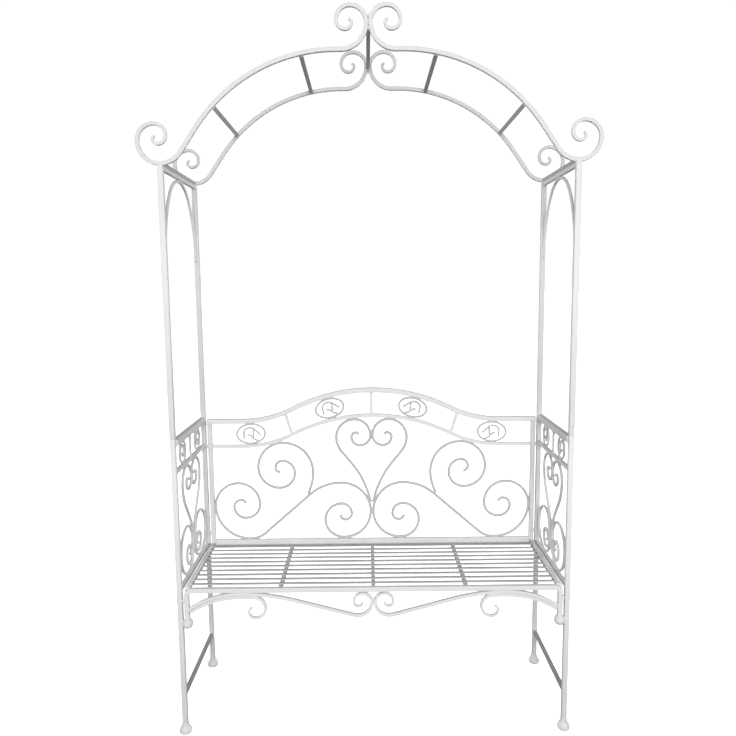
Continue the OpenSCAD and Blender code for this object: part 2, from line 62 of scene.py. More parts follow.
# Degrees that the knob's curve goes below and above its widest place
KNOB_LOW, KNOB_HIGH = 65, 50
# Radius of the flat that closes a turned piece at its axis
CORE_R = 0.4
ARM_RAIL_Z, ARM_RING_Y = 828.0, 88.0
SIDE_RAIL_Z = SEAT_Z - RAIL / 2
SEAT_BAR_Z = SEAT_Z - SEAT_BAR / 2
SLAT_COUNT, SLAT_PITCH, SLAT_W, SLAT_T, SLAT_SHIFT = 10, 33.0, 10.0, 4.0, -4.5
BEARER_X = (-285.0, 0.0, 285.0)
LOW_RAIL_H = 10.0
SEAT_BOLT_Z, LOW_BOLT_Z, ARCH_BOLT_Y, RAIL_BOLT_X = 430.0, 505.0, 120.0, 200.0
JOINT_SCREW_UP = 30.0
BOLT_D, SCREW_D, SPACER_D = 6.0, 5.0, 12.0

ARCH_TOUCH_X = -ARCH / 2
ARCH_NECK, ARCH_STRAIGHT, ARCH_HEEL = (-91.5, 71), (0, 75), (-55.5, 70)
ARCH_MAIN_TURN = 57
ARCH_OUTER_SCROLL = [(-90, 62), (-90, 47), (-90, 33), (-90, 23), (-90, 14), (-90, 7)]
ARCH_TOP_SCROLL = [(90, 45), (90, 38), (90, 25), (90, 18), (100, 8)]
RUNG_PLACES = (0.83, 0.23)
CENTRE_BAR_DROP = 4.0

BACK_END_Z, BACK_MID_DROP, BACK_FLAT_X, BACK_RISE, BACK_CROWN_R = 911.0, 90.0, 450.0, 107.0, 620.0
BACK_RING_X = (-427.0, -157.0, 157.0, 427.0)
BACK_RING_HALF = 53.0
BAND_BAR_X, BAND_BAR_W, BAND_BAR_LEAN = (-291.0, 0.0, 291.0), 10.5, 17.0
# A leaning band bar is this much shorter at each end, so that its corners stay in the rails
BAND_BAR_CUT = 1.5
# How far the rings run into the bars above and below them
ARM_RING_BITE, BACK_RING_BITE = 0.05, 0.1

SCROLL_TOUCH_X = -ROD / 2
LOW_RAIL_TOP = SEAT_Z + LOW_RAIL_H
S_COIL = [(-90, 96), (-90, 66), (-90, 58), (-90, 36), (-90, 23), (-90, 17)]
S_JOIN_Z = LOW_RAIL_TOP + ROD / 2 + S_COIL[0][1]
S_SWEEP = [(90, 104.5), (41, 169), (0, 216), (-41, 80), (-90, 122), (-90, 82), (-90, 76),
           (-90, 51), (-90, 41), (-90, 25), (-80, 17)]
# From the mid rail's crown to the start of the heart: its bend of 64, and the rail's fall beside it
HEART_DROP = 67
HEART_START = (-124.0, BACK_END_Z + BACK_RISE - BACK_MID_DROP - RAIL / 2 - ROD / 2 - HEART_DROP, 90)
HEART_TOP = [(-90, 64), (-90, 56.5), (-90, 37), (-90, 30), (-90, 16), (-80, 9)]
HEART_LINE = [(39, 80), (0, 55), (-27.6, 330)]
C_START = (-208.0, 726.0, 90)
C_TOP = [(90, 106), (90, 88), (90, 75), (90, 54), (90, 44), (90, 24), (90, 17)]
C_TAIL = [(-28.5, 168)]

SIDE_HEART_TOP = [(-90, 54), (-90, 46.5), (0, 4), (-90, 31), (-90, 25), (-90, 13), (-90, 8)]
SIDE_HEART_START = (-104.0, ARM_RAIL_Z - RAIL / 2 - ROD / 2 - SIDE_HEART_TOP[0][1], 90)
SIDE_LINE_R, SIDE_LINE_TURN, SIDE_LOOP_R = 110.0, 38.0, 73.5
SIDE_LOOP = [(-90, SIDE_LOOP_R), (-90, 73), (0, 6), (-90, 71), (-90, 60.5), (0, 29), (-90, 39.5),
             (-90, 26.5), (0, 9), (-90, 25), (-90, 23), (-100, 10)]

WINDOW_CROWN, WINDOW_LEG_TURN = (50, 135), 40

APRON_TOP_Z = SEAT_Z - SEAT_BAR - APRON / 2
APRON_MID_X, APRON_GAP, APRON_BEND, APRON_SHORT_R = -408.0, 0.5, 34, 271.0
APRON_SHORT_TOP_X = -366.0
APRON_SHORT_SCROLL = [(-90, 36), (-90, 31), (-90, 20), (-90, 12)]
APRON_TIP, APRON_TOUCH_X, APRON_LOW_Z = APRON * 0.6, -APRON / 2, 378.0
APRON_SLOPE, APRON_DIP_R, APRON_RISE_R = 15.0, 42.0, 64.0
APRON_CURL = [(90, 28), (90, 27), (90, 14), (90, 12)]
APRON_CURL_WELD_X = -38

MM = 0.001
SIDES = (-1, 1)
LEFT_RIGHT = ((-1, "left"), (1, "right"))
# The outlines are drawn for the left half, and a mirror of -1 gives the right half
MIRRORS = ((1, "left"), (-1, "right"))
BOTH = (-POST_X, POST_X)
UP, BACK = (0, 0, 1), (0, 1, 0)


# ---- Chains of bends, traced as in the CAD source but in finer steps ----

def sin(a):
    return math.sin(math.radians(a))


def cos(a):
    return math.cos(math.radians(a))


def moved(p, s):
    """The pose (x, y, heading) after one step: (turn, radius), or (0, length) when straight."""
    x, y, h = p
    if s[0] == 0:
        return (x + s[1] * cos(h), y + s[1] * sin(h), h)
    r = math.copysign(s[1], s[0])
    end = h + s[0]
    return (x + r * (sin(end) - sin(h)), y - r * (cos(end) - cos(h)), end)


def moved_all(p, chain):
    for s in chain:
        p = moved(p, s)
    return p


def trace(p, chain, turn_step=5.0, length_step=10.0):
    """All poses along a chain; a straight stretch has one every 40 mm or so."""
    path = [p]
    for s in chain:
        if s[0] == 0:
            n = max(1, round(s[1] / 40))
            path += [moved(p, (0, s[1] * k / n)) for k in range(1, n + 1)]
        else:
            n = math.ceil(max(abs(s[0]) / turn_step, math.radians(abs(s[0])) * s[1] / length_step))
            path += [moved(p, (s[0] * k / n, s[1])) for k in range(1, n + 1)]
        p = moved(p, s)
    return path


def backwards(path):
    """The same path, walked from its end."""
    return [(x, y, h + 180) for x, y, h in reversed(path)]


def joined(a, b):
    """Path a and then path b, which starts where a ends."""
    return a + b[1:]


def taper(n, w0, w1):
    """Widths of n poses, from w0 to w1."""
    return [w0 + (w1 - w0) * i / (n - 1) for i in range(n)]


# ---- Meshes ----

def rounded_rect(w, h, r, steps=3):
    """Outline of a rectangle with round corners, as (u, v) points, with a point close to each
    corner's ends, so that smooth shading keeps the flats flat."""
    r = min(r, w / 2, h / 2)
    keep = min(0.6, w / 2 - r, h / 2 - r)
    outline = []
    for k, (su, sv) in enumerate(((1, 1), (-1, 1), (-1, -1), (1, -1))):
        cu, cv = su * (w / 2 - r), sv * (h / 2 - r)
        arc = [(cu + r * cos(90 * k + 90 * i / steps), cv + r * sin(90 * k + 90 * i / steps))
               for i in range(steps + 1)]
        if keep > 0.05:
            along = (cos(90 * k), sin(90 * k))
            arc.insert(0, (arc[0][0] + keep * along[1], arc[0][1] - keep * along[0]))
            arc.append((arc[-1][0] - keep * along[0], arc[-1][1] - keep * along[1]))
        outline += arc
    return outline


def across(y):
    """The plane of a flat outline across the arch: its x, its y and the depth as a point."""
    return lambda a, b, d: Vector((a, y + d, b))


def in_side(x):
    """The plane of a flat outline in a side: its own x runs along Y."""
    return lambda a, b, d: Vector((x + d, a, b))


class Piece:
    """Collects closed lofts, in millimetres, and builds one object from them."""

    def __init__(self):
        self.verts, self.faces = [], []

    def loft(self, rings, closed=False):
        """A skin over rings of points, with flat ends, or joined end to start when closed."""
        n, base = len(rings[0]), len(self.verts)
        for ring in rings:
            self.verts += ring
        last = len(rings) - 1
        for i in range(len(rings) if closed else last):
            a, b = base + i * n, base + (i + 1) % len(rings) * n
            self.faces += [(a + k, a + (k + 1) % n, b + (k + 1) % n, b + k) for k in range(n)]
        if not closed:
            self.faces.append(tuple(range(base + n - 1, base - 1, -1)))
            self.faces.append(tuple(range(base + last * n, base + (last + 1) * n)))

    def sweep(self, plane, path, width, depth, radius, tips=(False, False), mirror=1):
        """A bar along a flat path, shallower where it narrows. A tip is rounded off."""
        last = len(path) - 1
        widths = width if isinstance(width, list) else [width] * (last + 1)
        rings = []

        def ring(p, w, k):
            x, y, h = p
            d = depth * (0.55 + 0.45 * min(1.0, w / max(widths)))
            nx, ny = -sin(h), cos(h)
            return [plane(mirror * (x + nx * u * k), y + ny * u * k, v * k)
                    for u, v in rounded_rect(w, d, radius)]

        def tip(i, away):
            x, y, h = path[i]
            half = widths[i] / 2
            out = []
            for a in (84, 62, 38, 16):
                shift = away * half * (1 - sin(a))
                out.append(ring((x + shift * cos(h), y + shift * sin(h), h), widths[i], cos(a) ** 0.8))
            return out

        if tips[0]:
            rings += tip(0, 1)
        rings += [ring(path[i], widths[i], 1.0)
                  for i in range(1 if tips[0] else 0, last if tips[1] else last + 1)]
        if tips[1]:
            rings += tip(last, -1)[::-1]
        self.loft(rings)

    def bar(self, a, b, w, h, radius, up=UP, chamfer=0.0):
        """A straight bar from a to b; h is its size along up."""
        a, b, up = Vector(a), Vector(b), Vector(up)
        along = (b - a).normalized()
        side = up.cross(along).normalized()
        up = along.cross(side)
        length = (b - a).length
        ends = [(0.0, chamfer), (chamfer * 0.4, chamfer * 0.3), (chamfer, 0.0)] if chamfer else [(0.0, 0.0)]
        stations = ends + [(length - s, c) for s, c in reversed(ends)]
        self.loft([[a + along * s + side * u + up * v
                    for u, v in rounded_rect(w - 2 * c, h - 2 * c, max(0.3, radius - c))]
                   for s, c in stations])

    def turned(self, centre, axis, profile, steps=32):
        """A turned solid: profile is (radius, distance along the axis) from one end to the other."""
        centre, axis = Vector(centre), Vector(axis).normalized()
        side = axis.orthogonal().normalized()
        other = axis.cross(side)
        self.loft([[centre + axis * z + (side * cos(360 * k / steps) + other * sin(360 * k / steps)) * r
                    for k in range(steps)] for r, z in profile])

    def fillet(self, centre, axis, w, h, radius, bead, up=UP):
        """A weld bead round a bar's end: centre is on the face it meets, axis points along the bar."""
        centre, axis, up = Vector(centre), Vector(axis).normalized(), Vector(up)
        side = up.cross(axis).normalized()
        up = axis.cross(side)
        outline = rounded_rect(w, h, radius, 4)
        points = []
        n = len(outline)
        for i in range(n):
            (u0, v0), (u1, v1) = outline[i], outline[(i + 1) % n]
            pieces = max(1, round(math.hypot(u1 - u0, v1 - v0) / 1.6))
            points += [(u0 + (u1 - u0) * k / pieces, v0 + (v1 - v0) * k / pieces) for k in range(pieces)]
        rings = []
        for i, (u, v) in enumerate(points):
            (ua, va), (ub, vb) = points[i - 1], points[(i + 1) % len(points)]
            du, dv = ub - ua, vb - va
            long = math.hypot(du, dv) or 1.0
            out = side * (dv / long) + up * (-du / long)
            p = centre + side * u + up * v
            # Ripples along the bead, and a slow change of its size
            s = bead * (0.86 + 0.16 * math.sin(i * 1.9) + 0.45 * noise.noise(p * 0.21))
            rings.append([p - out * 0.8 - axis * 0.2, p + out * s - axis * 0.2,
                          p + out * s * 0.72 + axis * s * 0.3, p + out * s * 0.34 + axis * s * 0.66,
                          p + out * 0.05 + axis * s, p - out * 0.8 + axis * s * 0.9])
        self.loft(rings, closed=True)

    def tack(self, p, rx, ry, rz):
        """A lump of weld between two bars that touch, with its half sizes."""
        p = Vector(p)
        rings = []
        for i in range(1, 8):
            a = -90 + 180 * i / 8
            rings.append([])
            for k in range(12):
                t = 30 * k
                d = Vector((cos(a) * cos(t), cos(a) * sin(t), sin(a)))
                lump = 1 + 0.22 * noise.noise((p + d * 5) * 0.3) + 0.05 * sin(6 * t)
                rings[-1].append(p + Vector((d.x * rx, d.y * ry, d.z * rz)) * lump)
        self.loft(rings)

    def build(self, name, nodes, material, sharp=50):
        """The piece as an object that stands for CAD nodes; edges over the angle sharp stay sharp."""
        mesh = bpy.data.meshes.new(name)
        mesh.from_pydata([v * MM for v in self.verts], [], self.faces)
        bm = bmesh.new()
        bm.from_mesh(mesh)
        bmesh.ops.recalc_face_normals(bm, faces=bm.faces)
        for f in bm.faces:
            f.smooth = True
        bm.to_mesh(mesh)
        bm.free()
        mesh.set_sharp_from_angle(angle=math.radians(sharp))
        mesh.materials.append(material)
        piece = bpy.data.objects.new(name, mesh)
        bpy.context.scene.collection.objects.link(piece)
        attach(piece, "root")
        if nodes:
            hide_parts(*nodes)


# ---- Materials ----

# The first colour is painted shade where bars meet; the others are dust near the floor and rubbed paint.
CORNER_SHADE_TONE, DUST, RUBBED = (0.46, 0.45, 0.43), (0.50, 0.47, 0.42), (0.60, 0.60, 0.59)


def new_material(name):
    material = bpy.data.materials.new(name)
    material.use_nodes = True
    tree = material.node_tree
    return material, tree, tree.nodes["Principled BSDF"]


def node(tree, kind, links=(), **values):
    """A new node: values set its properties or sockets, links feed its sockets."""
    made = tree.nodes.new(kind)
    for key, value in values.items():
        if hasattr(made, key):
            setattr(made, key, value)
        else:
            made.inputs[key.replace("_", " ")].default_value = value
    for socket, source in links:
        tree.links.new(source, made.inputs[socket])
    return made


def maths(tree, operation, *values, clamp=False):
    """A maths node's output; a value is a number or an output that feeds it."""
    made = node(tree, "ShaderNodeMath", operation=operation, use_clamp=clamp)
    for socket, value in zip(made.inputs, values):
        if isinstance(value, float):
            socket.default_value = value
        else:
            tree.links.new(value, socket)
    return made.outputs[0]


def ramp(tree, source, stops):
    """A colour ramp's output; each stop is a place and a grey or a colour."""
    made = tree.nodes.new("ShaderNodeValToRGB")
    tree.links.new(source, made.inputs[0])
    while len(made.color_ramp.elements) < len(stops):
        made.color_ramp.elements.new(0.5)
    for element, (place, value) in zip(made.color_ramp.elements, stops):
        element.position = place
        element.color = (*value, 1.0) if isinstance(value, tuple) else (value, value, value, 1.0)
    return made.outputs[0]


def mixed(tree, factor, a, b):
    """Colour a, turning into b as the factor rises."""
    made = tree.nodes.new("ShaderNodeMix")
    made.data_type = "RGBA"
    tree.links.new(factor, made.inputs["Factor"])
    for socket, value in ((6, a), (7, b)):
        if isinstance(value, tuple):
            made.inputs[socket].default_value = (*value, 1.0)
        else:
            tree.links.new(value, made.inputs[socket])
    return made.outputs[2]


def paint(name, light, shade, peel=0.10, corner_shade_amount=0.30, ground_dust=0.0, top_wear=0.0, lumps=0.0):
    """Satin white powder coat: cloudy tone, orange peel, and painted shade that darkens the colour where bars
    meet.
    """
    material, tree, shader = new_material(name)
    place = node(tree, "ShaderNodeTexCoord").outputs["Object"]

    def cloud(scale, detail, **values):
        made = node(tree, "ShaderNodeTexNoise", [("Vector", place)], Scale=scale, Detail=detail, **values)
        return made.outputs["Fac"]

    tone = maths(tree, "MULTIPLY_ADD", cloud(9.0, 5.0, Roughness=0.6), cloud(420.0, 2.0), 0.12)
    colour = ramp(tree, tone, [(0.22, shade), (0.55, light)])
    # Painted shade: ambient occlusion darkens the colour in patches towards a dull grey where bars meet.
    corner = node(tree, "ShaderNodeAmbientOcclusion", samples=12, Distance=0.012)
    corner_shade_mask = ramp(tree, corner.outputs["AO"], [(0.25, 1.0), (0.85, 0.0)])
    patchy = cloud(60.0, 4.0)
    amount = maths(tree, "MULTIPLY", maths(tree, "MULTIPLY", corner_shade_mask, patchy), corner_shade_amount)
    colour = mixed(tree, amount, colour, CORNER_SHADE_TONE)
    if ground_dust:
        height = node(tree, "ShaderNodeSeparateXYZ", [(0, place)]).outputs["Z"]
        low = ramp(tree, height, [(0.0, ground_dust), (0.06, 0.0)])
        colour = mixed(tree, maths(tree, "MULTIPLY", low, patchy), colour, DUST)
    if top_wear:
        normal = node(tree, "ShaderNodeNewGeometry").outputs["Normal"]
        up = node(tree, "ShaderNodeSeparateXYZ", [(0, normal)]).outputs["Z"]
        scuffs = ramp(tree, cloud(24.0, 6.0, Roughness=0.7), [(0.52, 0.0), (0.66, top_wear)])
        colour = mixed(tree, maths(tree, "MULTIPLY", scuffs, up, clamp=True), colour, RUBBED)
    tree.links.new(colour, shader.inputs["Base Color"])
    tree.links.new(ramp(tree, patchy, [(0.3, 0.50), (0.7, 0.64)]), shader.inputs["Roughness"])
    rough = node(tree, "ShaderNodeBump", [("Height", cloud(620.0, 2.0))], Strength=peel, Distance=0.0004)
    soft = node(tree, "ShaderNodeBump", [("Height", cloud(70.0, 3.0)), ("Normal", rough.outputs[0])],
                Strength=0.12 + lumps, Distance=0.0006)
    tree.links.new(soft.outputs[0], shader.inputs["Normal"])
    shader.inputs["Coat Weight"].default_value = 0.05
    shader.inputs["Coat Roughness"].default_value = 0.3
    shader.inputs["Specular IOR Level"].default_value = 0.35
    return material


def zinc(name):
    """Dull zinc plating with its faint crystal patches."""
    material, tree, shader = new_material(name)
    place = node(tree, "ShaderNodeTexCoord").outputs["Object"]
    cells = node(tree, "ShaderNodeTexVoronoi", [("Vector", place)], Scale=380.0)
    grain = node(tree, "ShaderNodeTexNoise", [("Vector", place)], Scale=900.0, Detail=3.0)
    tree.links.new(ramp(tree, cells.outputs["Color"], [(0.2, (0.50, 0.51, 0.52)), (0.9, (0.66, 0.67, 0.68))]),
                   shader.inputs["Base Color"])
    tree.links.new(ramp(tree, grain.outputs["Fac"], [(0.3, 0.35), (0.7, 0.5)]), shader.inputs["Roughness"])
    bump = node(tree, "ShaderNodeBump", [("Height", grain.outputs["Fac"])], Strength=0.1, Distance=0.0003)
    tree.links.new(bump.outputs[0], shader.inputs["Normal"])
    shader.inputs["Metallic"].default_value = 1.0
    return material


# All bars are one white paint. The darker copies below are painted shade for the families of bars that turn
# away from the light, each as dark as the photo shows it.
WHITE, SHADE = (0.80, 0.80, 0.795), (0.755, 0.755, 0.748)
SHADE_GREY, SHADE_GREY_DEEP = (0.49, 0.49, 0.487), (0.45, 0.45, 0.446)
TUBE_PAINT = paint("tube_paint", WHITE, SHADE)
SCROLL_SHADE_PAINT = paint("scroll_shade_paint", (0.59, 0.59, 0.586), (0.545, 0.545, 0.541), peel=0.14, lumps=0.06)
CROSS_SHADE_PAINT = paint("cross_shade_paint", SHADE_GREY, SHADE_GREY_DEEP)
ARCH_SHADE_PAINT = paint("arch_shade_paint", (0.73, 0.73, 0.726), (0.69, 0.69, 0.685))
STRETCHER_SHADE_PAINT = paint("stretcher_shade_paint", (0.34, 0.34, 0.338), (0.31, 0.31, 0.307))
SLAT_SHADE_PAINT = paint("slat_shade_paint", (0.46, 0.46, 0.457), (0.42, 0.42, 0.416), top_wear=0.22)
POST_PAINT = paint("post_paint", WHITE, SHADE, ground_dust=0.16)
# Welds and bolt heads get more of that painted shade.
WELD_PAINT = paint("weld_paint", WHITE, SHADE, peel=0.2, corner_shade_amount=0.4, lumps=0.25)
BOLT_PAINT = paint("bolt_paint", (0.79, 0.79, 0.785), (0.74, 0.74, 0.735), corner_shade_amount=0.5)
ZINC = zinc("zinc_plate")

# ---- Posts, feet and sides ----

WELDS = Piece()


def corner_names(stem):
    """The four nodes of a stem, with their places."""
    return [(f"{stem}_{fb}_{lr}", x * POST_X, y * POST_Y)
            for fb, y in (("front", -1), ("back", 1)) for lr, x in (("left", -1), ("right", 1))]


for stem, low, high in (("lower_post", FOOT_H, JOINT_Z), ("upper_post", JOINT_Z, POST_TOP_Z)):
    for name, x, y in corner_names(stem):
        post = Piece()
        post.bar((x, y, low), (x, y, high), POST, POST, POST_EDGE, up=BACK, chamfer=0.5)
        post.build(f"{name}_tube", [name], POST_PAINT)

FOOT_PROFILE = [(CORE_R, 0), (15.5, 0), (17.2, 0.6), (18.6, 2.4), (19.3, 4.8), (FOOT_R, 7.4), (19.1, 10.2),
                (18.0, 13), (16.3, 15.8), (14.6, 18.2), (13.2, 20.6), (12.3, 23), (11.8, 25.4),
                (FOOT_NECK_R, FOOT_H), (CORE_R, FOOT_H)]
feet = Piece()
for x in BOTH:
    for y in (-POST_Y, POST_Y):
        feet.turned((x, y, 0), UP, FOOT_PROFILE, 40)
        WELDS.fillet((x, y, FOOT_H - 0.2), UP, POST, POST, POST_EDGE, bead=1.6, up=BACK)
feet.build("feet_bells", ["feet"], POST_PAINT)

cups = Piece()
knob_angles = [-KNOB_LOW + (KNOB_LOW + KNOB_HIGH) * i / 14 for i in range(15)]
knob = [(CUP_R * cos(a), CUP_H * (sin(a) + sin(KNOB_LOW)) / (sin(KNOB_HIGH) + sin(KNOB_LOW)))
        for a in knob_angles]
knob = [(CORE_R, 0)] + knob + [(CORE_R, CUP_H)]
for x in (-LEG_X, LEG_X):
    cups.turned((x, -POST_Y, CUP_Z), UP, knob, 40)
    WELDS.fillet((x, -POST_Y, CUP_Z + CUP_H), UP, SEAT_BAR, SEAT_BAR, SEAT_EDGE, bead=1.2, up=BACK)
cups.build("leg_knobs", ["leg_cups"], TUBE_PAINT)


# Unless told otherwise, these bars take a grey copy of the paint, which is painted shade.
def side_bar(name, cad_node, xs, z, size=RAIL, edge=RAIL_EDGE, bead=1.9, reach=POST_FACE_Y,
             material=CROSS_SHADE_PAINT):
    """Square bars that run from front to back at the places xs, with a weld at each end."""
    made = Piece()
    for x in xs:
        made.bar((x, -reach, z), (x, reach, z), size, size, edge)
        for f in SIDES:
            WELDS.fillet((x, f * reach, z), (0, -f, 0), size, size, edge, bead)
    made.build(name, [cad_node], material)


for s, lr in LEFT_RIGHT:
    side_bar(f"arm_rest_{lr}_tube", f"arm_rest_{lr}", (s * POST_X,), ARM_Z - ARM / 2, ARM, ARM_EDGE,
             bead=1.2, material=TUBE_PAINT)
    side_bar(f"side_rail_{lr}_bar", f"side_rail_{lr}", (s * POST_X,), SIDE_RAIL_Z, material=TUBE_PAINT)
    side_bar(f"top_rail_{lr}_bar", f"top_rail_{lr}", (s * POST_X,), POST_TOP_Z - RAIL / 2,
             material=TUBE_PAINT)
side_bar("arm_rail_bars", "arm_rails", BOTH, ARM_RAIL_Z, material=TUBE_PAINT)
side_bar("stretcher_bars", "stretchers", BOTH, STRETCHER_Z, material=STRETCHER_SHADE_PAINT)


def side_scroll_path():
    """Heart half and loop of a side; the line between them ends where the loop meets the middle."""
    fall = SIDE_HEART_START[1] - SIDE_RAIL_Z - RAIL / 2 - ROD / 2 - SIDE_LOOP_R
    reach = SCROLL_TOUCH_X - SIDE_HEART_START[0]
    t = SIDE_LINE_TURN
    bends = (fall * sin(t) - reach * cos(t)) / (1 - cos(t))
    line = [(t, SIDE_LINE_R), (0, (fall - bends * sin(t)) / cos(t)), (-t, bends - SIDE_LINE_R)]
    down = (SIDE_HEART_START[0], SIDE_HEART_START[1], -90)
    return joined(backwards(trace(SIDE_HEART_START, SIDE_HEART_TOP)), trace(down, line + SIDE_LOOP))


SIDE_PATH = side_scroll_path()
HEART_WELD_Y, LOOP_WELD_Y, MIDDLE_WELDS_Z = 50, 77, (547, 770)
for s, lr in LEFT_RIGHT:
    for f, fb in ((1, "front"), (-1, "back")):
        rod = Piece()
        rod.sweep(in_side(s * POST_X), SIDE_PATH, ROD, ROD, ROD_EDGE, tips=(True, True), mirror=f)
        rod.build(f"side_scroll_{fb}_{lr}_rod", [f"side_scroll_{fb}_{lr}"], TUBE_PAINT)
        WELDS.tack((s * POST_X, -f * HEART_WELD_Y, ARM_RAIL_Z - RAIL / 2), 3.6, 7, 1.8)
        WELDS.tack((s * POST_X, -f * LOOP_WELD_Y, SIDE_RAIL_Z + RAIL / 2), 3.6, 8, 1.8)
    for z in MIDDLE_WELDS_Z:
        WELDS.tack((s * POST_X, 0, z), 3.6, 1.6, 8)

# ---- Rings with their scroll motif ----

MOTIF_ROD = RING_ROD * 0.94
# Strokes of the motif, each a start and a chain of bends
MOTIF = [((-25, -17, 90), [(0, 20), (-60, 18), (-30, 24), (-45, 24), (0, 30)]),
         ((-10, -40, 60), [(0, 29), (25, 30), (0, 19)]),
         ((4, -14, 115), [(50, 18), (0, 5)]),
         ((4, -16, -30), [(0, 22), (40, 20), (0, 12)])]


def ring_parts(piece, plane, a, b, mirror):
    """An oval ring of round rod and the motif inside it, in a plane of its own."""
    a, b = a - RING_ROD / 2, b - RING_ROD / 2
    rings = []
    for k in range(72):
        t = 5 * k
        n = Vector((b * cos(t), a * sin(t))).normalized()
        rings.append([plane(mirror * (a * cos(t) + n.x * u), b * sin(t) + n.y * u, v)
                      for u, v in rounded_rect(RING_ROD, RING_ROD, RING_EDGE)])
    piece.loft(rings, closed=True)
    for start, chain in MOTIF:
        # A stroke ends in the ring
        path = [p for p in trace(start, chain, 8, 4) if (p[0] / a) ** 2 + (p[1] / b) ** 2 < 1.02]
        piece.sweep(plane, path, MOTIF_ROD, MOTIF_ROD, MOTIF_EDGE, tips=(True, True), mirror=mirror)


ARM_RING_LOW = ARM_RAIL_Z + RAIL / 2
ARM_RING_GAP = ARM_Z - ARM - ARM_RING_LOW
for s, lr in LEFT_RIGHT:
    rings = Piece()
    for f in SIDES:
        centre = (f * ARM_RING_Y, ARM_RING_LOW + ARM_RING_GAP / 2)

        def ring_plane(a, b, d, centre=centre, s=s):
            return Vector((s * POST_X + d, centre[0] + a, centre[1] + b))

        half = ARM_RING_GAP / 2 + ARM_RING_BITE
        ring_parts(rings, ring_plane, half, half, mirror=-f)
        for z in (ARM_RING_LOW, ARM_RING_LOW + ARM_RING_GAP):
            WELDS.tack((s * POST_X, centre[0], z), 3.0, 6.5, 1.5)
    rings.bar((s * POST_X, 0, ARM_RING_LOW), (s * POST_X, 0, ARM_RING_LOW + ARM_RING_GAP),
              RING_ROD, ROD, RING_EDGE, up=BACK)
    rings.build(f"arm_rings_{lr}_rods", [f"arm_rings_{lr}"], TUBE_PAINT)

# ---- Window rods ----

leg_y = POST_FACE_Y - ROD / 2
leg_r = (leg_y - WINDOW_CROWN[1] * sin(WINDOW_CROWN[0])) / (1 - cos(WINDOW_LEG_TURN))
half_window = trace((0, POST_TOP_Z - RAIL - ROD / 2, 180), [WINDOW_CROWN, (WINDOW_LEG_TURN, leg_r)])
window = joined(backwards(half_window), [(-x, y, 180 - h) for x, y, h in half_window])
for s, lr in LEFT_RIGHT:
    rod = Piece()
    rod.sweep(in_side(s * POST_X), window, ROD, ROD, ROD_EDGE, tips=(True, True))
    rod.build(f"window_rod_{lr}_rod", [f"window_rod_{lr}"], TUBE_PAINT)
    WELDS.tack((s * POST_X, 0, POST_TOP_Z - RAIL), 3.6, 8, 1.8)
    for f in SIDES:
        WELDS.tack((s * POST_X, f * POST_FACE_Y, half_window[-1][1] + 8), 3.6, 1.8, 9)

# ---- Arch ----

# The main bend's radius is worked out so that the bar comes down on the post
h1 = -90 + ARCH_NECK[0]
h2 = h1 + ARCH_MAIN_TURN
ARCH_MAIN_R = (-POST_X - ARCH_TOUCH_X + ARCH_NECK[1] * (sin(h1) + 1) - ARCH_STRAIGHT[1] * cos(h2)
               + ARCH_HEEL[1] * (sin(h2 + ARCH_HEEL[0]) - sin(h2))) / (sin(h2) - sin(h1))
ARCH_DOWN = [ARCH_NECK, (ARCH_MAIN_TURN, ARCH_MAIN_R), ARCH_STRAIGHT, ARCH_HEEL]
ARCH_TOUCH_Z = POST_TOP_Z + ARCH / 2 - moved_all((ARCH_TOUCH_X, 0, -90), ARCH_DOWN)[1]
ARCH_START = (ARCH_TOUCH_X, ARCH_TOUCH_Z, -90)
top = trace((ARCH_TOUCH_X, ARCH_TOUCH_Z, 90), ARCH_TOP_SCROLL, 5, 6)
main = trace(ARCH_START, ARCH_DOWN)
outer = trace(moved_all(ARCH_START, ARCH_DOWN), ARCH_OUTER_SCROLL, 5, 6)
ARCH_PATH = joined(joined(backwards(top), main), outer)
ARCH_WIDTHS = (taper(len(top) - 1, ARCH_TIP, ARCH) + taper(len(main), ARCH, ARCH)
               + taper(len(outer) - 1, ARCH, ARCH_TIP))
for m, lr in MIRRORS:
    for y, fb in ((-POST_Y, "front"), (POST_Y, "back")):
        bar = Piece()
        bar.sweep(across(y), ARCH_PATH, ARCH_WIDTHS, ARCH, ARCH_EDGE, tips=(True, True), mirror=m)
        bar.build(f"arch_bar_{fb}_{lr}_bar", [f"arch_bar_{fb}_{lr}"], ARCH_SHADE_PAINT)
        WELDS.fillet((-m * POST_X, y, POST_TOP_Z), UP, ARCH, ARCH, ARCH_EDGE, bead=1.6, up=BACK)
for y in (-POST_Y, POST_Y):
    for dz in (-16, 0, 16):
        WELDS.tack((0, y, ARCH_TOUCH_Z + dz), 1.8, 5.5, 7)

REACH = POST_Y - ARCH / 2
for s, lr in LEFT_RIGHT:
    side_bar(f"arch_base_{lr}_bar", f"arch_base_{lr}", (s * POST_X,), POST_TOP_Z + RAIL / 2, reach=REACH)

rungs = Piece()
neck_end = moved(ARCH_START, ARCH_NECK)
for m in SIDES:
    for share in RUNG_PLACES:
        x, z, h = moved(neck_end, (ARCH_MAIN_TURN * share, ARCH_MAIN_R))
        up = (m * -sin(h), 0, cos(h))
        rungs.bar((m * x, -REACH, z), (m * x, REACH, z), RAIL, RAIL, RAIL_EDGE, up=up)
        for f in SIDES:
            WELDS.fillet((m * x, f * REACH, z), (0, -f, 0), RAIL, RAIL, RAIL_EDGE, bead=1.3, up=up)
rungs.build("arch_rung_bars", ["arch_rungs"], CROSS_SHADE_PAINT)
side_bar("arch_centre_bar_bar", "arch_centre_bar", (0,), ARCH_TOUCH_Z - CENTRE_BAR_DROP, bead=1.4,
         reach=REACH)

# ---- Seat ----

